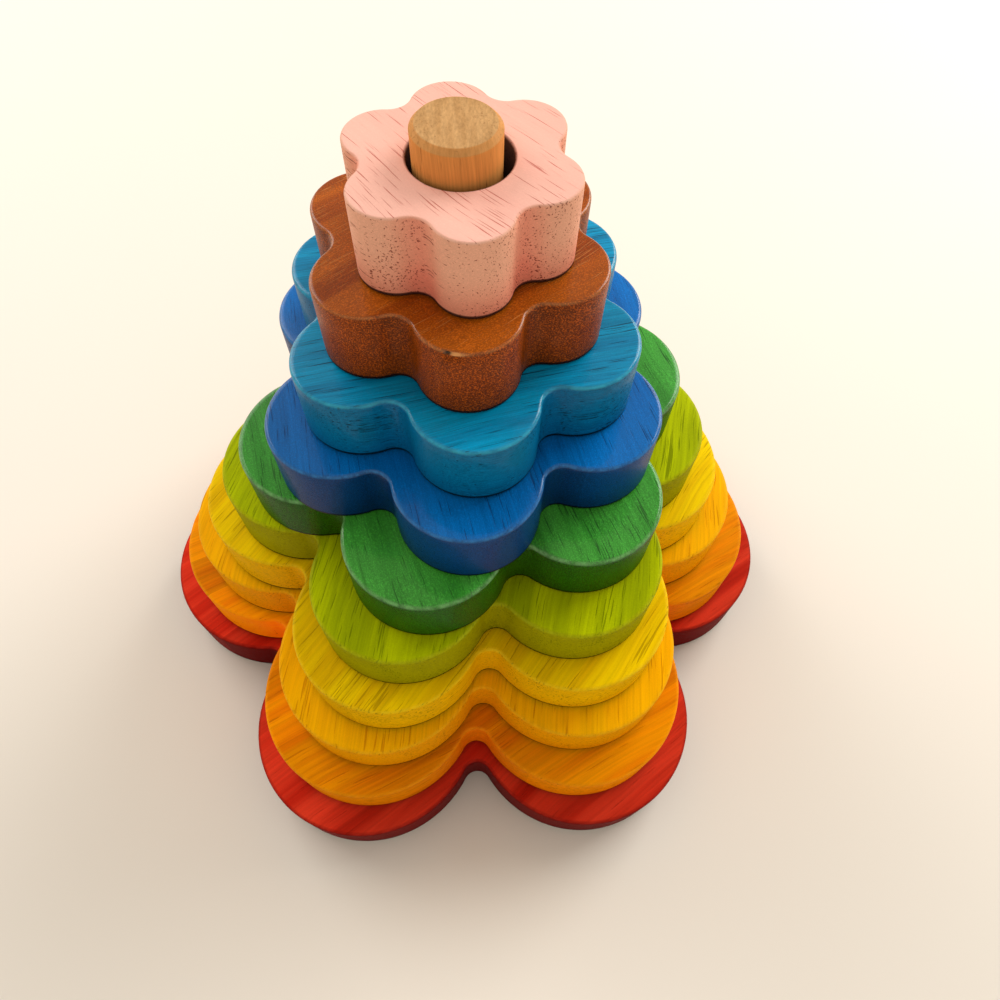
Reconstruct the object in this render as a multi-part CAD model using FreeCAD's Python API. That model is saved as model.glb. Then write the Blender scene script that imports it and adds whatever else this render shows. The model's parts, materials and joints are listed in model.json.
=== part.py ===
import FreeCAD, Part
import math
import os
from collections import namedtuple

# Flower stacking tower: nine six-lobed wooden rings stacked loosely on a post that stands in a
# six-lobed base. Millimetres, +Z up. The origin is on the post's axis, on the underside of the
# base, and the base has one lobe on +X, so a valley between two lobes faces -Y.

# Boards
LOBES = 6
BOARD_THICKNESS = 16.0
BASE_RADIUS = 95.0         # axis to the tip of a lobe of the base
RADIUS_STEP = 8.2          # each ring is this much smaller in radius than the board below it
LOBE_RATIO = 0.34          # lobe radius as a share of the board's own radius
VALLEY_RADIUS = 4.0        # concave rounding between two lobes, the same on every board
EDGE_RADIUS = 1.0          # sanded edges, top and bottom
BORE_DIAMETER = 18.0       # hole through each ring
BORE_EDGE_RADIUS = 0.5

# Post: a dowel glued into a blind hole in the base
POST_DIAMETER = 15.2
POST_PROUD = 6.0           # how far it stands above the top ring
POST_CHAMFER = 0.9
SOCKET_DEPTH = 12.0

# The rings from the bottom up. The turn, in degrees, is how the ring was left on the post, a lobe
# on +X being 0, and the shift is how far its centre lies off the post, within the bore's play.
Ring = namedtuple("Ring", "name turn shift")
RINGS = (
    Ring("orange_ring", 0.0, (0.0, 0.0)),
    Ring("golden_ring", 2.0, (0.0, 1.0)),
    Ring("yellow_ring", 4.0, (0.0, 0.0)),
    Ring("lime_ring", 6.0, (0.5, -0.5)),
    Ring("green_ring", 14.0, (0.5, -0.5)),
    Ring("blue_ring", 30.0, (0.0, -0.5)),
    Ring("teal_ring", 34.0, (0.0, 0.5)),
    Ring("brown_ring", 34.0, (-0.5, 1.0)),
    Ring("pink_ring", 36.0, (0.5, 0.5)),
)

POST_TOP = BOARD_THICKNESS * (len(RINGS) + 1) + POST_PROUD
POST_FOOT = BOARD_THICKNESS - SOCKET_DEPTH


def polar(radius, angle, centre=FreeCAD.Vector(0, 0, 0)):
    """The point at a radius and an angle in radians round a centre, in the centre's plane."""
    return centre + FreeCAD.Vector(radius * math.cos(angle), radius * math.sin(angle), 0)


def flower_wire(tip_radius):
    """A closed flower outline of arcs at z = 0: a convex arc for each lobe, and a concave arc of
    the valley radius, tangent to both its neighbours, between each two lobes."""
    lobe = LOBE_RATIO * tip_radius
    reach = tip_radius - lobe
    half = math.pi / LOBES
    # The valley arc's centre lies on the line midway between two lobes, a lobe radius and a
    # valley radius from both lobes' centres.
    valley = reach * math.cos(half) + math.sqrt((lobe + VALLEY_RADIUS) ** 2 - (reach * math.sin(half)) ** 2)
    across = polar(valley, half) - FreeCAD.Vector(reach, 0, 0)
    spread = math.atan2(across.y, across.x)    # half the angle that a lobe's arc covers
    edges = []
    for index in range(LOBES):
        turn = 2 * half * index
        centre = polar(reach, turn)
        valley_centre = polar(valley, turn + half)
        lobe_start, lobe_tip, lobe_end = (polar(lobe, turn + a, centre) for a in (-spread, 0, spread))
        valley_floor = polar(VALLEY_RADIUS, turn + half + math.pi, valley_centre)
        next_start = polar(lobe, turn + 2 * half - spread, polar(reach, turn + 2 * half))
        edges.append(Part.Arc(lobe_start, lobe_tip, lobe_end).toShape())
        edges.append(Part.Arc(lobe_end, valley_floor, next_start).toShape())
    return Part.Wire(edges)


def board(tip_radius):
    """A flower-shaped board standing on z = 0, its outer edges rounded."""
    block = Part.Face(flower_wire(tip_radius)).extrude(FreeCAD.Vector(0, 0, BOARD_THICKNESS))
    level_edges = [edge for edge in block.Edges if edge.BoundBox.ZLength < 0.01]
    return block.makeFillet(EDGE_RADIUS, level_edges)


def bored(body, diameter, floor):
    """The body with a round hole on the Z axis, from the floor level up through its top."""
    depth = BOARD_THICKNESS - floor
    return body.cut(Part.makeCylinder(diameter / 2, depth, FreeCAD.Vector(0, 0, floor)))


def base_flower():
    """The bottom board, with the blind hole that the post is glued into."""
    return bored(board(BASE_RADIUS), POST_DIAMETER, POST_FOOT)


def center_post():
    """The dowel, from the floor of its socket to its chamfered top end."""
    dowel = Part.makeCylinder(POST_DIAMETER / 2, POST_TOP - POST_FOOT, FreeCAD.Vector(0, 0, POST_FOOT))
    top_edges = [edge for edge in dowel.Edges if edge.BoundBox.ZMin > POST_TOP - 0.01]
    return dowel.makeChamfer(POST_CHAMFER, top_edges)


def ring(spec, level):
    """One loose ring, bored, turned and laid at its level in the stack. Level 1 lies on the base."""
    body = bored(board(BASE_RADIUS - RADIUS_STEP * level), BORE_DIAMETER, 0.0)
    rims = [edge for edge in body.Edges
            if isinstance(edge.Curve, Part.Circle) and abs(edge.Curve.Radius - BORE_DIAMETER / 2) < 0.01
            and edge.BoundBox.ZLength < 0.01]
    body = body.makeFillet(BORE_EDGE_RADIUS, rims)
    body.rotate(FreeCAD.Vector(0, 0, 0), FreeCAD.Vector(0, 0, 1), spec.turn)
    body.translate(FreeCAD.Vector(*spec.shift, BOARD_THICKNESS * level))
    return body


def main():
    """Build every piece and write each to its own STEP file."""
    os.makedirs("parts", exist_ok=True)
    pieces = {"base_flower": base_flower(), "center_post": center_post()}
    for level, spec in enumerate(RINGS, start=1):
        pieces[spec.name] = ring(spec, level)
    for name, shape in pieces.items():
        print(f"{name}: valid {shape.isValid()}, {len(shape.Solids)} solid, {shape.Volume / 1000:.1f} cm3")
        shape.exportStep(f"parts/{name}.step")


main()
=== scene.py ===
import json
import logging
import math
from dataclasses import dataclass, field
from enum import Enum

import bpy
import numpy as np
from mathutils import Matrix, Vector


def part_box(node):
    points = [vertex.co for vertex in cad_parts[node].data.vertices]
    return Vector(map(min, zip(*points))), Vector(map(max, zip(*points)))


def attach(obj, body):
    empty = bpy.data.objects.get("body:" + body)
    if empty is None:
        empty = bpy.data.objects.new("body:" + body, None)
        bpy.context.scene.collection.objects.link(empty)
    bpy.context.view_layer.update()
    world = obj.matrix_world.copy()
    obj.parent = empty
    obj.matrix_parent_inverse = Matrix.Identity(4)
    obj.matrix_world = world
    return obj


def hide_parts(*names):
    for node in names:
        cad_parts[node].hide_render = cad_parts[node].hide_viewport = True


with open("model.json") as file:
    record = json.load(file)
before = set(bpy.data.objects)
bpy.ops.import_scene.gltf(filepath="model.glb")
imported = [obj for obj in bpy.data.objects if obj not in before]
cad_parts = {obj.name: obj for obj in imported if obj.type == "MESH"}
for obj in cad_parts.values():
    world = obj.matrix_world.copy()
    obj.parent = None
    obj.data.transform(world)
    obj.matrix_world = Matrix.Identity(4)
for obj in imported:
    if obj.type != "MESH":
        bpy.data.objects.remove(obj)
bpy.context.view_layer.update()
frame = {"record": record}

# Flower stacking tower, finished: ten stained and lacquered hardwood boards cut as six-lobed
# flowers, stacked on a plain dowel. Metres, +Z up, the front of the toy towards -Y. Every place
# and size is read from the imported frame, except those named below.

log = logging.getLogger("tower")

MM = 0.001
LOBES = 6
LOBE_RATIO = 0.34
VALLEY_RADIUS = 4.0 * MM

Colour = tuple[float, float, float]
Place = tuple[float, float, float]


# ---------------------------------------------------------------------------------------------
# Shader maths
# ---------------------------------------------------------------------------------------------


class Value:
    """A number that varies over a surface: one output socket, whose operators add Math nodes."""

    def __init__(self, graph: "Graph", socket: bpy.types.NodeSocket) -> None:
        """Wrap an output socket of a graph."""
        self.graph = graph
        self.socket = socket

    def _math(self, operation: str, *operands: "Value | float", clamp: bool = False) -> "Value":
        """Add one Math node.

        Args:
            operation: the node's operation, such as "ADD".
            operands: its inputs in order, as values or plain numbers.
            clamp: whether the result is kept within 0 and 1.

        Returns:
            The node's result.
        """
        settings = {"operation": operation, "use_clamp": clamp}
        node = self.graph.node("ShaderNodeMath", settings, dict(enumerate(operands)))
        return Value(self.graph, node.outputs[0])

    def __add__(self, other: "Value | float") -> "Value":
        """Sum."""
        return self._math("ADD", self, other)

    def __sub__(self, other: "Value | float") -> "Value":
        """Difference."""
        return self._math("SUBTRACT", self, other)

    def __rsub__(self, other: float) -> "Value":
        """Difference from a plain number."""
        return self._math("SUBTRACT", other, self)

    def __mul__(self, other: "Value | float") -> "Value":
        """Product."""
        return self._math("MULTIPLY", self, other)

    def __truediv__(self, other: "Value | float") -> "Value":
        """Quotient."""
        return self._math("DIVIDE", self, other)

    def __pow__(self, other: float) -> "Value":
        """Power."""
        return self._math("POWER", self, other)

    __radd__ = __add__
    __rmul__ = __mul__

    def floor(self) -> "Value":
        """The whole number below."""
        return self._math("FLOOR", self)

    def clamped(self) -> "Value":
        """The number kept within 0 and 1."""
        return self._math("ADD", self, 0.0, clamp=True)

    def step(self, start: float, end: float) -> "Value":
        """A smooth step.

        Args:
            start: where the step is still 0.
            end: where it has reached 1; below start for a step that falls.

        Returns:
            0 on start's side, 1 on end's side, and a smooth rise between them.
        """
        if start > end:
            return 1 - self.step(end, start)
        settings = {"interpolation_type": "SMOOTHSTEP"}
        inputs = {"Value": self, "From Min": start, "From Max": end}
        return Value(self.graph, self.graph.node("ShaderNodeMapRange", settings, inputs).outputs[0])


class Graph:
    """The node tree of one material, with its principled shader ready."""

    def __init__(self, name: str) -> None:
        """Make an empty material of that name with a Principled BSDF and its output."""
        self.material = bpy.data.materials.new(name)
        self.material.use_nodes = True
        self.tree = self.material.node_tree
        self.tree.nodes.clear()
        self.shader = self.node("ShaderNodeBsdfPrincipled")
        self.node("ShaderNodeOutputMaterial", inputs={"Surface": self.shader.outputs[0]})

    def node(self, kind: str, settings: dict | None = None, inputs: dict | None = None) -> bpy.types.Node:
        """Add a node.

        Args:
            kind: the node's type, such as "ShaderNodeTexNoise".
            settings: attributes to set first, before any socket.
            inputs: a socket's name or number to its value, a Value, or another node's socket.

        Returns:
            The new node.
        """
        made = self.tree.nodes.new(kind)
        for name, value in (settings or {}).items():
            setattr(made, name, value)
        for key, value in (inputs or {}).items():
            self.feed(made.inputs[key], value)
        return made

    def feed(self, socket: bpy.types.NodeSocket, value: object) -> None:
        """Link a Value or a socket to an input socket, or set a constant on it."""
        if isinstance(value, Value):
            value = value.socket
        if isinstance(value, bpy.types.NodeSocket):
            self.tree.links.new(value, socket)
        else:
            socket.default_value = value

    def attribute(self, name: str) -> Value:
        """A number stored on the mesh's points."""
        return Value(self, self.node("ShaderNodeAttribute", {"attribute_name": name}).outputs["Fac"])

    def mix(self, amount: Value | float, first: object, second: object) -> bpy.types.NodeSocket:
        """Mix two colours.

        Args:
            amount: how much of the second colour shows.
            first: the colour that is mixed onto, as a socket or red, green and blue.
            second: the colour that is mixed in.

        Returns:
            The mixed colour's socket.
        """
        made = self.node("ShaderNodeMix", {"data_type": "RGBA", "clamp_factor": True})
        for socket, value in ((made.inputs[0], amount), (made.inputs[6], first), (made.inputs[7], second)):
            self.feed(socket, (*value, 1.0) if isinstance(value, tuple) else value)
        return made.outputs[2]

    def tint(self, colour: object, factor: Value) -> bpy.types.NodeSocket:
        """A colour made lighter or darker by a factor, which is 1 where it stays as it is."""
        grey = self.node("ShaderNodeCombineXYZ", inputs={0: factor, 1: factor, 2: factor})
        made = self.node("ShaderNodeVectorMath", {"operation": "MULTIPLY"}, {0: colour, 1: grey.outputs[0]})
        return made.outputs[0]


# ---------------------------------------------------------------------------------------------
# Finishes
# ---------------------------------------------------------------------------------------------


# Sizes of the patterns, in millimetres along the grain, across it, and through the board
FIBRE_ASPECT = 45.0                     # a fibre's length as a multiple of its width
ROUND_DEPTH = 3.0                       # the band depth at which a fibre is as deep as it is wide
BAND_LENGTH = 110.0
CLOUD_SIZE = (22.0, 12.0, 12.0)
PATCH_SIZE = (45.0, 6.0, 9.0)           # the patches that the pores keep to
WEAR_AND_GLINT_SIZE = (3.0, 1.6, 1.6)
PEEL_SIZE = (2.2, 1.5, 1.5)             # the orange peel in the lacquer
FLECK_SIZE = (0.34, 0.22, 0.22)
WANDER_SIZE = (45.0, 60.0, 60.0)
WANDER_REACH = (0.0, 7.0, 0.8)          # how far the grain wanders
SEED_SHIFT = (1.0, 1.7, 2.3)            # how far one step in the seed shifts a noise, in blobs
NOISE_ROUGHNESS = 0.55

# Levels of a noise between which a pattern comes up, and the pores' step in level
BAND_STEP = (0.35, 0.68)
FLECK_STEP = (0.42, 0.72)
WORN_AND_GLINT_STEP = (0.35, 0.65)
PORE_STEP = 0.10                        # above the level at which a pore opens

# The stain, with the painted shade, glint and sparkle
WALL_COVER = 0.95                       # how fully the wall's stain hides the face's
VALLEY_DARKENING = 0.75                      # how much darker the valleys are
FOOT_DARKENING = 0.55                         # and how much darker the bottom of the wall is
LOW_START = 0.35                        # how far down the wall that begins
FLECK_MEAN = 0.32                       # taken off the flecks, so that they leave the tone as it is
FACE_FLECKS = 0.4                       # the share of the flecks' strength on faces, all of it on walls
LEAST_WEAR_AND_GLINT = 0.3                        # the share of an edge's wear and painted glint that is there everywhere
UNDER_SHADE = 0.93                      # how dark the painted shade in the bore and the seam is

# The lacquer, and the heights of its relief in millimetres
FIBRE_ROUGHNESS = 0.22
PORE_ROUGHNESS = 0.25
WALL_COAT_LOSS = 0.75                   # the share of the coat that end grain soaks up
RIM_COAT_GAIN = 1.2                     # the extra coat that built up on the edges
FIBRE_HEIGHT = 0.010
PEEL_HEIGHT = 0.020
FLECK_HEIGHT = 0.012
SPECKLE_HEIGHT = 0.030                  # added to a fleck's height at a speckle of 1
FACE_RELIEF = 0.6                       # the share of a fleck's height on faces, and added to it on walls
PORE_DEPTH = 0.050


class Pattern(Enum):
    """A noise in the wood: its shift from the wood's seed, so that no two line up, and its detail."""

    BANDS = (0.0, 2.0)
    FIBRE = (3.1, 3.0)
    WEAR_AND_GLINT = (5.0, 3.0)
    CLOUD = (7.7, 3.0)
    PEEL = (9.0, 2.0)
    FLECK = (11.0, 1.0)
    PORES = (21.0, 1.0)
    PATCH = (23.0, 2.0)


class Sheen(Enum):
    """How a board was lacquered: roughness, the coat's weight and roughness, and specular level."""

    SILK = (0.48, 0.03, 0.28, 0.01)
    GLOSS = (0.36, 0.40, 0.10, 0.05)


@dataclass(frozen=True)
class Texture:
    """The patterns that a wood's colour and its lacquer share."""

    grain: bpy.types.NodeSocket         # millimetres from the board's middle, x along the grain
    fibre: Value                        # the fine fibre lines
    pores: Value                        # 1 inside an open pore
    fleck: Value                        # the fine flecks


@dataclass(frozen=True)
class Wood:
    """One board's wood, its stain and its lacquer. Lengths are in millimetres."""

    name: str
    face: Colour                        # the stain on the flat faces
    deep: Colour                        # the stain where the growth bands drank more of it
    pore: Colour                        # what lies in the open pores
    wall: Colour                        # the stain on the sawn wall round the board
    valley_and_foot: Colour                        # the darker colour in the valleys and towards the bottom of the wall
    rim: Colour                         # the worn, lighter edge, with a painted glint along its bend
    grain_turn: float = 90.0            # the grain's direction on the face, in degrees from +X
    grain_dip: float = 1.0              # how far the grain dives below the face, in degrees
    sheen: Sheen = Sheen.SILK
    bands: float = 0.5                  # strength of the broad growth bands
    band_width: float = 6.0
    band_depth: float = 3.0             # a band's depth as a multiple of its width
    fibre: float = 0.10                 # strength of the fine fibre lines
    fibre_width: float = 0.32
    mottle: float = 0.10                # strength of the cloudy patches
    pores: float = 0.6                  # darkness of the open pores
    pore_share: float = 0.60            # noise level above which a pore is open: lower means more
    pore_patch: float = 0.35            # how much they keep to patches
    pore_wall: float = 0.0              # how many more show in the sawn wall
    pore_hole: float = 0.2              # painted shade in their holes there: how much darker they are
    pore_length: float = 6.0
    pore_width: float = 0.40
    speckle_and_sparkle: float = 0.0                # fine flecks: grain tone, and painted sparkle where an orange-peeled coat glints
    stave_width: float = 0.0            # width of the glued staves, or 0 for one plank
    stave_shift: float = 0.0
    stave_tone: float = 0.0             # how much two staves differ
    wear_and_glint: float = 0.35                  # how much of the rim colour, worn edge and painted glint, shows on the edges
    valley_and_foot_share: float = 0.6
    upright: bool = False               # a dowel: the grain runs up its axis
    seed: float = 0.0

    def material(self, centre: Vector) -> bpy.types.Material:
        """Build the wood's material about a board's centre.

        The object's coordinates, in millimetres from the centre, are turned so that x runs along
        the grain, and every noise is stretched along x. The same solid pattern cuts the face in
        long lines and the end grain in dots. The marks on the mesh's points say where the wall,
        the edges and the valleys are.

        Args:
            centre: the middle of the board, in metres.

        Returns:
            The finished material.
        """
        graph = Graph(self.name)
        grain = self._grain_coordinates(graph, centre)
        width, depth = self.fibre_width, self.fibre_width * self.band_depth / ROUND_DEPTH
        texture = Texture(
            grain,
            self._noise(graph, grain, Pattern.FIBRE, (FIBRE_ASPECT * width, width, depth)),
            self._pores(graph, grain),
            self._noise(graph, grain, Pattern.FLECK, FLECK_SIZE),
        )
        self._colour(graph, texture)
        self._lacquer(graph, texture)
        return graph.material

    def _colour(self, graph: Graph, texture: Texture) -> None:
        """Mix the stain's colours, with painted shade, glint and sparkle, and feed the base colour.

        Args:
            graph: the material's graph.
            texture: the wood's patterns.
        """
        grain, fibre, pores = texture.grain, texture.fibre, texture.pores
        wall, valley, depth = (graph.attribute(mark) for mark in ("wall", "valley", "depth"))
        rim, painted_shade = graph.attribute("rim"), graph.attribute("painted_shade")
        size = (BAND_LENGTH, self.band_width, self.band_depth * self.band_width)
        bands = self._noise(graph, grain, Pattern.BANDS, size)
        cloud = self._noise(graph, grain, Pattern.CLOUD, CLOUD_SIZE)
        colour = graph.mix(bands.step(*BAND_STEP) * self.bands, self.face, self.deep)
        colour = graph.mix(wall * WALL_COVER, colour, self.wall)
        # darker in the valleys and towards the bottom of the wall
        low = depth.step(LOW_START, 1.0) * FOOT_DARKENING
        valley_and_foot_mask = (valley * VALLEY_DARKENING + low) * wall * (cloud + 0.5)
        colour = graph.mix(valley_and_foot_mask.clamped() * self.valley_and_foot_share, colour, self.valley_and_foot)
        shade = 1 + (fibre - 0.5) * (2 * self.fibre) + (cloud - 0.5) * (2 * self.mottle)
        # painted sparkle: bright flecks where the orange-peeled coat glints, strongest on the walls
        if self.speckle_and_sparkle:
            strength = (wall * (1 - FACE_FLECKS) + FACE_FLECKS) * self.speckle_and_sparkle
            shade = shade + (texture.fleck.step(*FLECK_STEP) - FLECK_MEAN) * strength
        if self.stave_width:
            shade = shade * self._staves(graph, grain)
        colour = graph.mix(pores * self.pores, graph.tint(colour, shade), self.pore)
        # painted shade in the open pores' holes on the sawn wall
        colour = graph.tint(colour, 1 - pores * wall * self.pore_hole)
        # the rim colour on the upper edge's bend: worn, lighter edges and a painted glint
        worn = self._noise(graph, grain, Pattern.WEAR_AND_GLINT, WEAR_AND_GLINT_SIZE).step(*WORN_AND_GLINT_STEP)
        worn = worn * (1 - LEAST_WEAR_AND_GLINT) + LEAST_WEAR_AND_GLINT
        colour = graph.mix(rim ** 2 * worn * self.wear_and_glint, colour, self.rim)
        # painted shade in the bore, in the seams between boards and in a knock's pit
        graph.feed(graph.shader.inputs["Base Color"], graph.tint(colour, 1 - painted_shade * UNDER_SHADE))

    def _lacquer(self, graph: Graph, texture: Texture) -> None:
        """Set the gloss and feed the roughness and the bump: fibres stand up, pores sink in.

        Args:
            graph: the material's graph.
            texture: the wood's patterns.
        """
        rough, coat, coat_rough, specular = self.sheen.value
        wall, shader = graph.attribute("wall"), graph.shader
        roughness = rough + (texture.fibre - 0.5) * FIBRE_ROUGHNESS + texture.pores * PORE_ROUGHNESS
        graph.feed(shader.inputs["Roughness"], roughness.clamped())
        shader.inputs["Specular IOR Level"].default_value = specular
        cover = coat * (1 - wall * WALL_COAT_LOSS) + graph.attribute("rim") * (coat * RIM_COAT_GAIN)
        graph.feed(shader.inputs["Coat Weight"], cover.clamped())
        shader.inputs["Coat Roughness"].default_value = coat_rough
        peel = self._noise(graph, texture.grain, Pattern.PEEL, PEEL_SIZE)
        flecks = texture.fleck * (FLECK_HEIGHT + SPECKLE_HEIGHT * self.speckle_and_sparkle) * (wall + FACE_RELIEF)
        height = texture.fibre * FIBRE_HEIGHT + peel * PEEL_HEIGHT + flecks - texture.pores * PORE_DEPTH
        relief = {"Height": height * MM, "Distance": 1.0, "Strength": 1.0}
        graph.feed(shader.inputs["Normal"], graph.node("ShaderNodeBump", inputs=relief).outputs[0])

    def _grain_coordinates(self, graph: Graph, centre: Vector) -> bpy.types.NodeSocket:
        """Millimetres from the board's centre, x along the grain, with a slow wander across it."""
        position = graph.node("ShaderNodeTexCoord").outputs["Object"]
        dip = 90.0 if self.upright else self.grain_dip
        turned = graph.node("ShaderNodeMapping", {"vector_type": "TEXTURE"}, {
            "Vector": position,
            "Location": centre,
            "Rotation": (0.0, math.radians(dip), math.radians(self.grain_turn)),
            "Scale": (MM, MM, MM),
        }).outputs[0]
        slow = graph.node("ShaderNodeMapping", {"vector_type": "POINT"}, {
            "Vector": turned,
            "Location": (self.seed, 0.0, 0.0),
            "Scale": tuple(1 / length for length in WANDER_SIZE),
        }).outputs[0]
        wander = graph.node("ShaderNodeTexNoise", inputs={"Vector": slow, "Scale": 1.0, "Detail": 1.0})
        offset = graph.node("ShaderNodeVectorMath", {"operation": "MULTIPLY_ADD"}, {
            0: wander.outputs["Color"], 1: WANDER_REACH, 2: turned})
        return offset.outputs[0]

    def _noise(self, graph: Graph, grain: bpy.types.NodeSocket, pattern: Pattern,
               size: tuple[float, float, float]) -> Value:
        """Noise stretched to a size.

        Args:
            graph: the material's graph.
            grain: the grain coordinates.
            pattern: which noise it is.
            size: the length of one blob along the grain, across it, and through the board.

        Returns:
            A value about 0.5, seldom outside 0.25 to 0.75.
        """
        shift, detail = pattern.value
        placed = graph.node("ShaderNodeMapping", {"vector_type": "POINT"}, {
            "Vector": grain,
            "Location": tuple((self.seed + shift) * step for step in SEED_SHIFT),
            "Scale": tuple(1 / length for length in size),
        }).outputs[0]
        inputs = {"Vector": placed, "Scale": 1.0, "Detail": detail, "Roughness": NOISE_ROUGHNESS}
        return Value(graph, graph.node("ShaderNodeTexNoise", inputs=inputs).outputs["Fac"])

    def _pores(self, graph: Graph, grain: bpy.types.NodeSocket) -> Value:
        """Open pores: the peaks of a noise stretched along the grain, broken up and in patches."""
        size = (self.pore_length, self.pore_width, self.pore_width)
        peaks = self._noise(graph, grain, Pattern.PORES, size)
        patch = self._noise(graph, grain, Pattern.PATCH, PATCH_SIZE)
        level = peaks + (patch - 0.5) * self.pore_patch + graph.attribute("wall") * self.pore_wall
        return level.step(self.pore_share, self.pore_share + PORE_STEP)

    def _staves(self, graph: Graph, grain: bpy.types.NodeSocket) -> Value:
        """One brightness for each glued stave: a random number for each stave's width across."""
        across = Value(graph, graph.node("ShaderNodeSeparateXYZ", inputs={0: grain}).outputs[1])
        number = ((across + self.stave_shift) / self.stave_width).floor()
        tone = graph.node("ShaderNodeTexWhiteNoise", {"noise_dimensions": "1D"}, {"W": number + self.seed})
        return 1 + (Value(graph, tone.outputs["Value"]) - 0.5) * (2 * self.stave_tone)


# ---------------------------------------------------------------------------------------------
# Meshes
# ---------------------------------------------------------------------------------------------


def mesh_from_grid(name: str, grid: np.ndarray, marks: dict[str, np.ndarray],
                   close_rows: bool) -> bpy.types.Object:
    """Make an object from a grid of points that closes on itself along its columns.

    Args:
        name: the object's name.
        grid: points as (rows, columns, 3), in metres; the columns run counter-clockwise round +Z
            and the rows so that faces point outwards.
        marks: a point attribute's name to its numbers as (rows, columns).
        close_rows: whether the last row joins the first. Otherwise each end row is closed by a
            fan onto its middle.

    Returns:
        The smooth-shaded object, linked to the scene.
    """
    rows, columns = grid.shape[:2]
    index = np.arange(rows * columns).reshape(rows, columns)
    below, above = (index, np.roll(index, -1, axis=0)) if close_rows else (index[:-1], index[1:])
    corners = (below, np.roll(below, -1, axis=1), np.roll(above, -1, axis=1), above)
    quads = np.stack(corners, axis=-1).reshape(-1, 4)
    points = grid.reshape(-1, 3)
    numbers = {key: value.reshape(-1) for key, value in marks.items()}
    loops, sizes = [quads.reshape(-1)], [np.full(len(quads), 4)]
    if not close_rows:
        for row, pole, flip in ((0, rows * columns, False), (rows - 1, rows * columns + 1, True)):
            ring = index[row]
            fan = np.stack((np.full(columns, pole), np.roll(ring, -1), ring), axis=-1)
            loops.append((fan[:, ::-1] if flip else fan).reshape(-1))
            sizes.append(np.full(columns, 3))
            points = np.vstack((points, grid[row].mean(axis=0)))
            numbers = {key: np.append(value, value[ring[0]]) for key, value in numbers.items()}
    loops, sizes = np.concatenate(loops), np.concatenate(sizes)
    mesh = bpy.data.meshes.new(name)
    mesh.vertices.add(len(points))
    mesh.vertices.foreach_set("co", points.astype(np.float32).ravel())
    mesh.loops.add(len(loops))
    mesh.loops.foreach_set("vertex_index", loops.astype(np.int32))
    mesh.polygons.add(len(sizes))
    mesh.polygons.foreach_set("loop_start", (np.cumsum(sizes) - sizes).astype(np.int32))
    mesh.polygons.foreach_set("use_smooth", np.ones(len(sizes), dtype=bool))
    for key, value in numbers.items():
        layer = mesh.attributes.new(key, "FLOAT", "POINT")
        layer.data.foreach_set("value", value.astype(np.float32))
    mesh.update(calc_edges=True)
    mesh.validate()
    made = bpy.data.objects.new(name, mesh)
    bpy.context.scene.collection.objects.link(made)
    return made


SEAM_DARK = 0.6                         # the share of the seam's height up to which the painted contact shade is dark
SEAM_SHADE = 0.9                        # how dark the painted contact shade is there
WOBBLE_WAVES = (3, 5, 11)               # waves round a board, of which its wobble is the mean
PIT_START = 0.4                         # the wall mark above which a knock's pit may lie


@dataclass(frozen=True)
class Outline:
    """A flower outline: six convex lobe arcs, joined by concave valley arcs tangent to them."""

    tip_radius: float
    turn: float                         # angle of the first lobe from +X, in radians
    lobe_points: int = 88
    valley_points: int = 14

    def points(self) -> tuple[np.ndarray, np.ndarray]:
        """Points and outward normals round the flower, as complex numbers.

        A lobe's centre lies the reach from the flower's centre. A valley's centre lies on the
        line midway between two lobes, a lobe radius and a valley radius from both their centres.
        One lobe and one valley are sampled by angle, then repeated by turning them.
        """
        lobe = LOBE_RATIO * self.tip_radius
        reach = self.tip_radius - lobe
        half = math.pi / LOBES
        valley = reach * math.cos(half)
        valley += math.sqrt((lobe + VALLEY_RADIUS) ** 2 - (reach * math.sin(half)) ** 2)
        middle = valley * np.exp(1j * half)
        spread = float(np.angle(middle - reach))
        lobe_normals = np.exp(1j * np.linspace(-spread, spread, self.lobe_points, endpoint=False))
        facing = np.linspace(spread, 2 * half - spread, self.valley_points, endpoint=False)
        valley_normals = np.exp(1j * facing)
        sector = np.concatenate((reach + lobe * lobe_normals, middle - VALLEY_RADIUS * valley_normals))
        normals = np.concatenate((lobe_normals, valley_normals))
        turns = np.exp(1j * (self.turn + 2 * half * np.arange(LOBES)))[:, None]
        return (turns * sector).ravel(), (turns * normals).ravel()


@dataclass(frozen=True)
class Nick:
    """A knock in the upper edge: a worn stretch of its bend, paler and with a painted glint, and a small
    pit with painted shade in that.
    """

    angle_degrees: float                # where it lies round the board
    length: float
    depth: float
    worn_share: float = 0.6             # how deep the worn stretch is, as a share of the depth
    drop: float = 0.8                   # how far the bend drops for each length that it is pushed in
    pale_and_glint: float = 2.0                   # how much more the worn stretch shows as a rim: paler, with a painted glint
    pit_widths: float = 6.0             # the knock's length in widths of the pit
    pit_place: float = 2.2              # how far clockwise the pit lies, in the same widths
    # how dark the painted shade in the pit is
    pit_shade: float = 1.3

    def stretch(self, away: np.ndarray) -> np.ndarray:
        """The worn stretch: a flat-topped bell of the distance round the board, exp(-x^4)."""
        return np.exp(-(2 * away / self.length) ** 4)

    def pit(self, away: np.ndarray) -> np.ndarray:
        """The pit: a bell of the distance round the board, exp(-x^2), off the knock's middle."""
        return np.exp(-(self.pit_widths * away / self.length + self.pit_place) ** 2)


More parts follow.
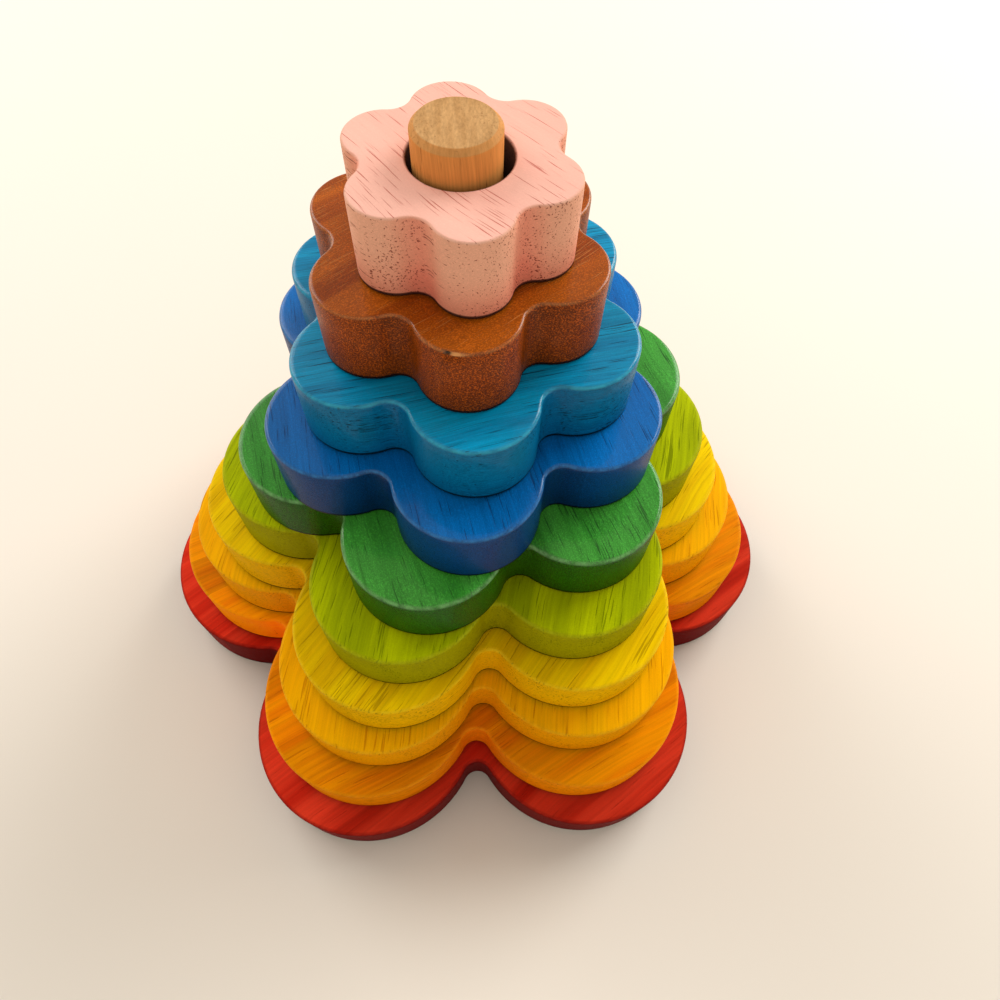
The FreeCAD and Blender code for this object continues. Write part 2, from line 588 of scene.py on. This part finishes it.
@dataclass
class Board:
    """One loose flower-shaped ring: a sawn board with sanded edges and a bore for the post."""

    node: str
    wood: Wood
    turn_degrees: float
    body: str = ""
    edge_radius: float = 1.0 * MM
    edge_support: float = 0.4 * MM      # how far inside the rounded edge the face's last row lies
    hole_radius: float = 9.0 * MM
    hole_edge: float = 0.5 * MM
    seam: float = 0.50 * MM             # height of the painted contact shade above the lower edge's bend
    wobble: float = 0.10 * MM           # how far the hand-sanded wall strays
    nicks: tuple[Nick, ...] = ()
    valley_spread: float = 0.16         # half width of a valley's stained part, in radians
    edge_rows: int = 7
    face_rows: int = 8
    wall_rows: int = 5
    low: Vector = field(init=False)
    high: Vector = field(init=False)

    def __post_init__(self) -> None:
        """Read the board's box from the frame."""
        self.low, self.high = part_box(self.node)
        self.body = self.body or self.node

    @property
    def centre(self) -> Vector:
        """The middle of the board."""
        return (self.low + self.high) / 2

    @property
    def tip_radius(self) -> float:
        """The radius to the lobes' tips, worked out from the box's width and the board's turn."""
        angles = math.radians(self.turn_degrees) + 2 * math.pi / LOBES * np.arange(LOBES)
        reach = float(np.abs(np.cos(angles)).max())
        return (self.high.x - self.low.x) / 2 / ((1 - LOBE_RATIO) * reach + LOBE_RATIO)

    def rows(self, share: np.ndarray | float, inner: np.ndarray | float, inset: np.ndarray | float,
             height: np.ndarray | float, rim: np.ndarray | float = 0.0, wall: np.ndarray | float = 0.0,
             painted_shade: np.ndarray | float = 0.0) -> np.ndarray:
        """Stack numbers and arrays of one length into rows of the section.

        Args:
            share: 0 on the inner circle, 1 on the outline, and between them in between.
            inner: the inner circle's radius.
            inset: how far the outline is drawn inwards.
            height: how high the row lies above the floor.
            rim: 1 on the bend of the upper edge, for the finish.
            wall: 1 on the sawn wall, for the finish.
            painted_shade: 1 where shade is painted, as light hardly reaches there: in the bore, and where
                two boards meet.

        Returns:
            An array of one row per height and seven columns.
        """
        columns = map(np.atleast_1d, (share, inner, inset, height, rim, wall, painted_shade))
        return np.stack(np.broadcast_arrays(*columns), axis=1)

    def section(self) -> list[np.ndarray]:
        """The section from the bore's wall up, over the top, down the wall and back underneath.

        An edge is a quarter circle: its height rises with the sine of an angle that grows from 0
        to 90 degrees, and it leaves the wall with one minus the cosine.
        """
        top, bottom, hole = self.high.z, self.low.z, self.hole_edge
        angle = np.linspace(0, math.pi / 2, self.edge_rows)
        short, run = 1 - np.sin(angle), 1 - np.cos(angle)
        bore, face = self.hole_radius, self.hole_radius + hole
        return [
            # painted shade fills the bore and fades out over the upper edge of the hole
            self.rows(0.0, bore + hole * run, 0.0, top - hole * short, painted_shade=np.cos(angle)),
            *self.outside(face),
            self.rows(0.0, (bore + hole * run)[::-1], 0.0, bottom + hole * short[::-1], painted_shade=1.0),
        ]

    def outside(self, face: float) -> list[np.ndarray]:
        """The part of the section from the inner circle on the top to the same circle below.

        Args:
            face: the radius at which the flat faces start.

        Returns:
            The top face, the upper edge, the wall, the lower edge and the bottom face.
        """
        top, bottom, edge = self.high.z, self.low.z, self.edge_radius
        angle = np.linspace(0, math.pi / 2, self.edge_rows)
        short, run = 1 - np.sin(angle), 1 - np.cos(angle)
        bend = np.sin(2 * angle)
        support = edge + self.edge_support
        span = np.linspace(0, 1, self.face_rows + 1)[1:]
        wall = np.linspace(top - edge, bottom + edge + self.seam, self.wall_rows + 2)[1:]
        return [
            self.rows(span, face, support, top),
            self.rows(1.0, face, (edge * run)[::-1], (top - edge * short)[::-1], bend[::-1], 1 - run[::-1]),
            self.rows(1.0, face, 0.0, wall, 0.0, 1.0),
            # painted contact shade low on the wall and on the lower edge's bend
            self.rows(1.0, face, 0.0, bottom + edge + self.seam * SEAM_DARK, 0.0, 1.0, SEAM_SHADE),
            self.rows(1.0, face, edge * run, bottom + edge * short, 0.0, 1.0, 1.0),
            self.rows(span[::-1], face, support, bottom),
        ]

    def grid(self, section: np.ndarray) -> tuple[np.ndarray, dict[str, np.ndarray]]:
        """Carry the section round the flower.

        A point blends the inner circle and the outline by the row's share. The outline is drawn
        in along its own normal by the row's inset, and by the wobble: half of it, plus half of it
        times the mean of three sines of the angle round the board. A nick pushes the bend of the
        upper edge in and down along its worn stretch, and more in its pit.

        Args:
            section: the rows' shares, inner radii, insets, heights and marks.

        Returns:
            The points, in metres, and each point's marks by name. "valley" falls off from 1 in the
            valleys as a bell curve of the angle, and "depth" grows from 0 at the top to 1 below.
        """
        edge, normal = Outline(self.tip_radius, math.radians(self.turn_degrees)).points()
        around = np.angle(edge)
        sines = [np.sin(count * around + count * self.wood.seed) for count in WOBBLE_WAVES]
        waves = sum(sines) / len(sines)
        step = 2 * math.pi / LOBES
        from_valley = (around - math.radians(self.turn_degrees)) % step - step / 2
        valley = np.exp(-(from_valley / self.valley_spread) ** 2)
        share, inner, inset, height, rim, wall, painted_shade = (column[:, None] for column in section.T)
        for nick in self.nicks:
            away = np.abs(edge) * (around - math.radians(nick.angle_degrees))
            stretch, pit = nick.stretch(away), nick.pit(away) * (wall > PIT_START)
            dent = nick.depth * (nick.worn_share * stretch + pit) * rim
            inset, height = inset + dent, height - dent * nick.drop
            # a knock's pit gets painted shade, and its worn stretch more rim colour with painted glint
            painted_shade, rim = painted_shade + nick.pit_shade * pit * rim, rim * (1 + nick.pale_and_glint * stretch)
        outer = edge - normal * (inset + self.wobble * (1 + waves) / 2)
        flat = inner * edge / np.abs(edge) * (1 - share) + outer * share
        spread = np.ones(len(edge))
        points = np.stack((flat.real + self.centre.x, flat.imag + self.centre.y, height * spread), axis=-1)
        depth = (self.high.z - height) / (self.high.z - self.low.z)
        marks = {"rim": rim, "wall": wall, "painted_shade": np.minimum(painted_shade, 1), "depth": depth}
        return points, {"valley": valley * share, **{name: mark * spread for name, mark in marks.items()}}

    def build(self) -> bpy.types.Object:
        """Make the ring's mesh, which closes on itself through the bore, and dress it."""
        points, marks = self.grid(np.concatenate(self.section()))
        return self.dress(mesh_from_grid(self.node.replace("_", "-"), points, marks, close_rows=True))

    def dress(self, piece: bpy.types.Object) -> bpy.types.Object:
        """Give the piece its wood and its place in the frame."""
        piece.data.materials.append(self.wood.material(self.centre))
        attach(piece, self.body)
        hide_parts(self.node)
        slot_of(self.node)
        faces = len(piece.data.polygons)
        log.info("%s: tip radius %.1f mm, %d faces", self.node, self.tip_radius / MM, faces)
        return piece


@dataclass
class BaseBoard(Board):
    """The lowest board: solid underneath, with a blind socket that the post is glued into."""

    body: str = "root"
    pole: float = 0.6 * MM              # radius of the small circles that the fans close
    floor_rows: int = 3
    socket_rows: int = 4

    def build(self) -> bpy.types.Object:
        """Make the base's mesh, closed in the socket's floor and underneath, and dress it."""
        points, marks = self.grid(np.concatenate(self.section()))
        return self.dress(mesh_from_grid(self.node.replace("_", "-"), points, marks, close_rows=False))

    def section(self) -> list[np.ndarray]:
        """The section from the middle of the socket's floor, over the board, to the middle below."""
        post_low, post_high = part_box("center_post")
        socket = (post_high.x - post_low.x) / 2
        floor = np.linspace(self.pole, socket, self.floor_rows)
        side = np.linspace(post_low.z, self.high.z, self.socket_rows)[1:]
        return [
            self.rows(0.0, floor, 0.0, post_low.z),
            self.rows(0.0, socket, 0.0, side),
            *self.outside(socket),
            self.rows(0.0, floor[::-1], 0.0, self.low.z),
        ]


@dataclass
class Post:
    """The plain dowel in the middle, chamfered round its top end."""

    wood: Wood
    node: str = "center_post"
    body: str = "root"
    chamfer: float = 0.9 * MM
    worn_edge: float = 0.08 * MM        # from each edge of the chamfer out to the start of its worn facet
    facet: float = 0.7                  # from the edge to the facet's end on the slope, as a share of that
    pole: float = 0.6 * MM              # radius of the small circles that the fans close
    end_rows: int = 9
    side_rows: int = 24
    slope_rim: float = 0.6              # how much the chamfer shows as a rim
    slope_wall: float = 0.65            # and how much as a wall
    sharp_angle: float = math.radians(18.0)
    round_columns: int = 128

    def build(self) -> bpy.types.Object:
        """Make the dowel as a profile turned about its axis and dress it.

        A row is a radius and a height; its points are the radius times the cosine and the sine
        of the angle round the axis. Each of the chamfer's two edges is worn to a narrow facet of
        its own, and both ends close in a fan.
        """
        low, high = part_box(self.node)
        radius, centre = (high.x - low.x) / 2, (low + high) / 2
        worn, rest = self.worn_edge, self.worn_edge * self.facet
        side = np.linspace(low.z, high.z - self.chamfer - worn, self.side_rows)
        flat = np.linspace(radius - self.chamfer - worn, self.pole, self.end_rows)
        radii = np.concatenate((
            [self.pole], np.full(side.shape, radius),
            [radius - rest, radius - self.chamfer + rest], flat))
        heights = np.concatenate((
            [low.z], side,
            [high.z - self.chamfer + rest, high.z - rest], np.full(flat.shape, high.z)))
        angle = np.linspace(0, 2 * math.pi, self.round_columns, endpoint=False)
        turned = radii[:, None] * np.exp(1j * angle)
        upward = np.repeat(heights[:, None], len(angle), axis=1)
        grid = np.stack((turned.real + centre.x, turned.imag + centre.y, upward), axis=-1)
        end = (heights > high.z - worn / 2).astype(float)
        slope = ((heights > high.z - self.chamfer) & (end < 1)).astype(float)
        plain = np.zeros(len(heights))
        named = {"rim": slope * self.slope_rim, "wall": 1 - end - slope * (1 - self.slope_wall),
                 "painted_shade": plain, "valley": plain, "depth": plain}
        spread = {key: np.repeat(value[:, None], len(angle), axis=1) for key, value in named.items()}
        piece = mesh_from_grid("center-post", grid, spread, close_rows=False)
        piece.data.set_sharp_from_angle(angle=self.sharp_angle)
        piece.data.materials.append(self.wood.material(centre))
        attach(piece, self.body)
        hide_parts(self.node)
        slot_of(self.node)
        log.info("%s: radius %.1f mm, %d faces", self.node, radius / MM, len(piece.data.polygons))
        return piece


def slot_of(node: str) -> str:
    """The material slot that the record gives a node."""
    return next(part["material_slot"] for part in frame["record"]["subparts"] if part["node"] == node)


# ---------------------------------------------------------------------------------------------
# The tower
# ---------------------------------------------------------------------------------------------

BASE_WOOD = Wood(
    "red stain", face=(0.75, 0.05, 0.02), deep=(0.50, 0.015, 0.005), pore=(0.20, 0.005, 0.0),
    wall=(0.17, 0.0, 0.0), valley_and_foot=(0.12, 0.0, 0.0), rim=(0.70, 0.04, 0.02),
    grain_turn=35.0, bands=0.9, fibre=0.3, fibre_width=0.8, pores=0.3, pore_share=0.67,
    pore_length=12.0, pore_width=0.5, speckle_and_sparkle=0.15, stave_width=34.0, stave_shift=9.0,
    stave_tone=0.2, seed=1.0)
ORANGE_WOOD = Wood(
    "orange stain", face=(0.95, 0.35, 0.0), deep=(0.85, 0.20, 0.0), pore=(0.40, 0.10, 0.0),
    wall=(0.95, 0.30, 0.0), valley_and_foot=(0.95, 0.15, 0.0), rim=(0.95, 0.40, 0.01),
    grain_turn=28.0, bands=0.8, fibre=0.35, fibre_width=0.9, pores=0.45, pore_share=0.64,
    pore_length=14.0, pore_width=0.55, speckle_and_sparkle=0.15, stave_width=13.0, stave_shift=4.0,
    stave_tone=0.2, seed=2.0)
GOLDEN_WOOD = Wood(
    "golden stain", face=(0.95, 0.50, 0.0), deep=(0.90, 0.40, 0.0), pore=(0.50, 0.15, 0.0),
    wall=(0.85, 0.35, 0.0), valley_and_foot=(0.75, 0.25, 0.0), rim=(0.95, 0.60, 0.02),
    grain_turn=80.0, fibre=0.3, fibre_width=0.8, pores=0.5, pore_share=0.625, pore_length=14.0,
    pore_width=0.5, speckle_and_sparkle=0.15, seed=3.0)
YELLOW_WOOD = Wood(
    "yellow stain", face=(0.95, 0.66, 0.0), deep=(0.75, 0.42, 0.0), pore=(0.35, 0.20, 0.0),
    wall=(0.80, 0.45, 0.0), valley_and_foot=(0.70, 0.35, 0.0), rim=(0.95, 0.80, 0.03),
    grain_turn=52.0, bands=0.7, fibre=0.3, fibre_width=0.8, pores=0.55, pore_share=0.62,
    pore_length=14.0, pore_width=0.5, speckle_and_sparkle=0.15, stave_width=30.0, stave_shift=12.0,
    stave_tone=0.08, seed=4.0)
LIME_WOOD = Wood(
    "lime stain", face=(0.55, 0.65, 0.0), deep=(0.30, 0.38, 0.0), pore=(0.15, 0.20, 0.0),
    wall=(0.35, 0.33, 0.0), valley_and_foot=(0.25, 0.22, 0.0), rim=(0.60, 0.70, 0.02),
    grain_turn=75.0, bands=0.8, fibre=0.35, fibre_width=0.6, pores=0.65, pore_share=0.615,
    pore_length=12.0, pore_width=0.42, speckle_and_sparkle=0.25, seed=5.0)
GREEN_WOOD = Wood(
    "green stain", face=(0.07, 0.43, 0.05), deep=(0.03, 0.26, 0.02), pore=(0.01, 0.07, 0.01),
    wall=(0.01, 0.10, 0.0), valley_and_foot=(0.02, 0.06, 0.0), rim=(0.35, 0.80, 0.30), sheen=Sheen.GLOSS,
    grain_turn=108.0, bands=0.8, fibre=0.35, fibre_width=0.5, mottle=0.35, pores=0.7,
    pore_share=0.625, pore_length=8.0, speckle_and_sparkle=1.3, wear_and_glint=0.45, seed=6.0)
BLUE_WOOD = Wood(
    "blue stain", face=(0.0, 0.15, 0.50), deep=(0.0, 0.10, 0.35), pore=(0.0, 0.02, 0.10),
    wall=(0.0, 0.04, 0.17), valley_and_foot=(0.0, 0.01, 0.05), rim=(0.05, 0.35, 0.85), sheen=Sheen.GLOSS,
    grain_turn=100.0, fibre=0.3, fibre_width=0.4, pores=0.65, pore_share=0.65, pore_length=8.0,
    pore_width=0.32, speckle_and_sparkle=0.7, stave_width=24.0, stave_shift=15.0, stave_tone=0.2, wear_and_glint=0.45,
    seed=7.0)
TEAL_WOOD = Wood(
    "teal stain", face=(0.0, 0.32, 0.60), deep=(0.0, 0.20, 0.42), pore=(0.0, 0.05, 0.10),
    wall=(0.0, 0.15, 0.32), valley_and_foot=(0.0, 0.10, 0.28), rim=(0.06, 0.70, 0.90), sheen=Sheen.GLOSS,
    grain_turn=14.0, bands=0.8, band_width=3.5, fibre=0.6, pores=0.9, pore_share=0.64,
    pore_length=18.0, pore_width=0.34, speckle_and_sparkle=0.25, wear_and_glint=0.4, seed=8.0)
BROWN_WOOD = Wood(
    "brown stain", face=(0.42, 0.10, 0.005), deep=(0.24, 0.04, 0.0), pore=(0.75, 0.30, 0.07),
    wall=(0.30, 0.055, 0.003), valley_and_foot=(0.14, 0.03, 0.0), rim=(0.80, 0.35, 0.10), sheen=Sheen.GLOSS,
    grain_turn=38.0, bands=0.9, fibre=0.2, mottle=0.3, pores=0.5, pore_share=0.665,
    pore_length=9.0, pore_width=0.2, pore_patch=0.5, pore_wall=-0.2, speckle_and_sparkle=1.5, wear_and_glint=0.3,
    seed=9.0)
PINK_WOOD = Wood(
    "pink stain", face=(0.95, 0.54, 0.45), deep=(0.92, 0.48, 0.40), pore=(0.50, 0.06, 0.04),
    wall=(0.88, 0.45, 0.30), valley_and_foot=(0.85, 0.25, 0.17), rim=(0.95, 0.68, 0.55),
    grain_turn=130.0, fibre=0.05, mottle=0.04, pores=0.65, pore_share=0.628, pore_length=14.0,
    pore_width=0.31, pore_patch=0.26, pore_wall=0.012, pore_hole=0.5, speckle_and_sparkle=0.12, wear_and_glint=0.25,
    valley_and_foot_share=0.9, seed=10.0)
NATURAL_WOOD = Wood(
    "bare dowel", face=(0.60, 0.35, 0.15), deep=(0.42, 0.22, 0.08), pore=(0.35, 0.12, 0.03),
    wall=(0.75, 0.31, 0.08), valley_and_foot=(0.50, 0.16, 0.03), rim=(0.60, 0.33, 0.12),
    upright=True, band_width=1.1, band_depth=8.0, fibre=0.4, pores=0.35, pore_share=0.68,
    pore_width=0.30, wear_and_glint=0.5, seed=11.0)


FRONT_NICK = Nick(angle_degrees=-92.0, length=3.5 * MM, depth=0.35 * MM)


def boards() -> list[Board]:
    """Every board, from the base up, with the turn that it was left at."""
    return [
        BaseBoard("base_flower", BASE_WOOD, 0.0),
        Board("orange_ring", ORANGE_WOOD, 0.0),
        Board("golden_ring", GOLDEN_WOOD, 2.0),
        Board("yellow_ring", YELLOW_WOOD, 4.0),
        Board("lime_ring", LIME_WOOD, 6.0),
        Board("green_ring", GREEN_WOOD, 14.0),
        Board("blue_ring", BLUE_WOOD, 30.0, edge_radius=0.8 * MM),
        Board("teal_ring", TEAL_WOOD, 34.0, edge_radius=0.8 * MM),
        Board("brown_ring", BROWN_WOOD, 34.0, edge_radius=0.6 * MM, nicks=(FRONT_NICK,)),
        Board("pink_ring", PINK_WOOD, 36.0, edge_radius=0.45 * MM),
    ]


# ---------------------------------------------------------------------------------------------
# The studio
# ---------------------------------------------------------------------------------------------


@dataclass(frozen=True)
class Softbox:
    """A square area light, aimed at the middle of the tower."""

    name: str
    place: Place
    side: float                         # metres
    power: float                        # watts
    target: Place = (0.0, 0.0, 0.08)
    tone: Colour = (1.0, 0.97, 0.93)

    def build(self) -> None:
        """Make the light and aim it."""
        data = bpy.data.lights.new(self.name, "AREA")
        data.shape, data.size, data.energy = "SQUARE", self.side, self.power
        data.color = self.tone
        lamp = bpy.data.objects.new(self.name, data)
        lamp.location = self.place
        aim = Vector(self.target) - Vector(self.place)
        lamp.rotation_euler = aim.to_track_quat("-Z", "Y").to_euler()
        bpy.context.scene.collection.objects.link(lamp)


@dataclass(frozen=True)
class Studio:
    """A pale floor, soft light and the camera, close above the front of the tower."""

    floor_half: float = 2.5
    floor_dark: Colour = (0.84, 0.80, 0.73)
    floor_pale: Colour = (0.87, 0.83, 0.76)
    floor_roughness: float = 0.7
    floor_clouds: float = 3.0           # clouds in its tone, in each metre
    surround: Colour = (1.0, 0.90, 0.78)
    surround_strength: float = 0.62
    key: Softbox = Softbox("key", (0.95, 0.75, 0.85), 0.85, 14.8)
    fill: Softbox = Softbox("fill", (-0.85, 0.85, 0.85), 0.90, 9.0)
    camera_place: Place = (0.0, -0.108, 0.235)
    camera_pitch: float = 60.0          # degrees below level
    camera_yaw: float = 5.0             # degrees to the right of +Y
    camera_roll: float = 2.5
    lens: float = 26.2                  # millimetres, on a picture of the width below
    film_width: float = 36.0

    def build(self) -> None:
        """Make the floor, the lights, the world and the camera."""
        self.floor()
        self.world()
        self.key.build()
        self.fill.build()
        self.camera()
        bpy.context.scene.view_settings.view_transform = "Standard"

    def floor(self) -> None:
        """A plain warm-white plane under the toy."""
        graph = Graph("pale floor")
        position = graph.node("ShaderNodeTexCoord").outputs["Object"]
        inputs = {"Vector": position, "Scale": self.floor_clouds, "Detail": 2.0}
        cloud = graph.node("ShaderNodeTexNoise", inputs=inputs)
        colour = graph.mix(Value(graph, cloud.outputs["Fac"]), self.floor_dark, self.floor_pale)
        graph.feed(graph.shader.inputs["Base Color"], colour)
        graph.shader.inputs["Roughness"].default_value = self.floor_roughness
        half = self.floor_half
        mesh = bpy.data.meshes.new("floor")
        corners = [(-half, -half, 0), (half, -half, 0), (half, half, 0), (-half, half, 0)]
        mesh.from_pydata(corners, [], [(0, 1, 2, 3)])
        mesh.materials.append(graph.material)
        made = bpy.data.objects.new("floor", mesh)
        bpy.context.scene.collection.objects.link(made)

    def world(self) -> None:
        """An even, slightly warm surround."""
        world = bpy.data.worlds.new("studio")
        bpy.context.scene.world = world
        world.use_nodes = True
        background = world.node_tree.nodes["Background"]
        background.inputs["Color"].default_value = (*self.surround, 1.0)
        background.inputs["Strength"].default_value = self.surround_strength

    def camera(self) -> None:
        """The camera: looking along +Y, turned by its yaw, pitched down, then rolled."""
        yaw, pitch, roll = (math.radians(a) for a in (self.camera_yaw, self.camera_pitch, self.camera_roll))
        ahead = Vector((math.sin(yaw), math.cos(yaw), 0.0))
        forward = ahead * math.cos(pitch) - Vector((0.0, 0.0, math.sin(pitch)))
        level = Vector((math.cos(yaw), -math.sin(yaw), 0.0))
        upright = level.cross(forward)
        right = level * math.cos(roll) + upright * math.sin(roll)
        up = upright * math.cos(roll) - level * math.sin(roll)
        data = bpy.data.cameras.new("camera")
        data.sensor_width, data.lens = self.film_width, self.lens
        data.clip_start, data.clip_end = 0.01, 50.0
        camera = bpy.data.objects.new("camera", data)
        turned = Matrix((right, up, -forward)).transposed().to_4x4()
        camera.matrix_world = Matrix.Translation(self.camera_place) @ turned
        bpy.context.scene.collection.objects.link(camera)
        bpy.context.scene.camera = camera


def main() -> None:
    """Build the studio, the boards and the post."""
    logging.basicConfig(level=logging.INFO, format="%(name)s: %(message)s")
    Studio().build()
    Post(NATURAL_WOOD).build()
    for board in boards():
        board.build()
    bpy.context.view_layer.update()


if __name__ == "__main__":
    main()
